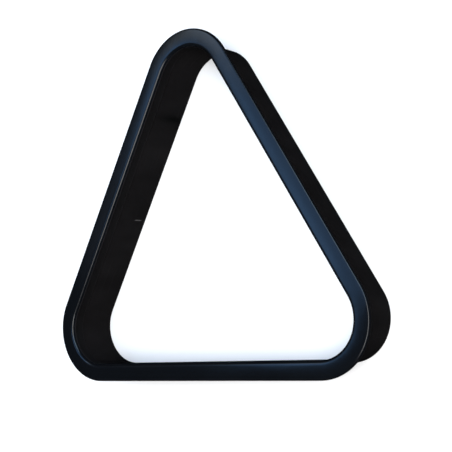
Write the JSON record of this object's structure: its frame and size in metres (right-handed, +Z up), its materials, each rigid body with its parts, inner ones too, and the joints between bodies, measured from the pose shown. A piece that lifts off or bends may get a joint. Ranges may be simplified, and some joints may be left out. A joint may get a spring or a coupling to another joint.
{
  "type": "triangle rack",
  "caption": "Rounded triangular ball rack for billiards: a thin upright wall under a wide, softly rounded rim, with a thin collar inside the wall, in black satin plastic.",
  "frame": {"origin": "middle of the bounding box at the surface that the rack lies on, under the wall's lower edge", "axes": "+X along the straight back bar, +Y from the back bar to the apex, +Z up, from the wall's lower edge to the wide rim"},
  "size_m": [0.3138, 0.2838, 0.048],
  "materials": {
    "rim_plastic": "black moulded plastic, satin, with a cool sheen and bright rounded edges",
    "wall_plastic": "black moulded plastic, fine matt grain"
  },
  "bodies": {
    "root": {"rim_cap": "rim_plastic", "wall_band": "wall_plastic"}
  },
  "joints": []
}
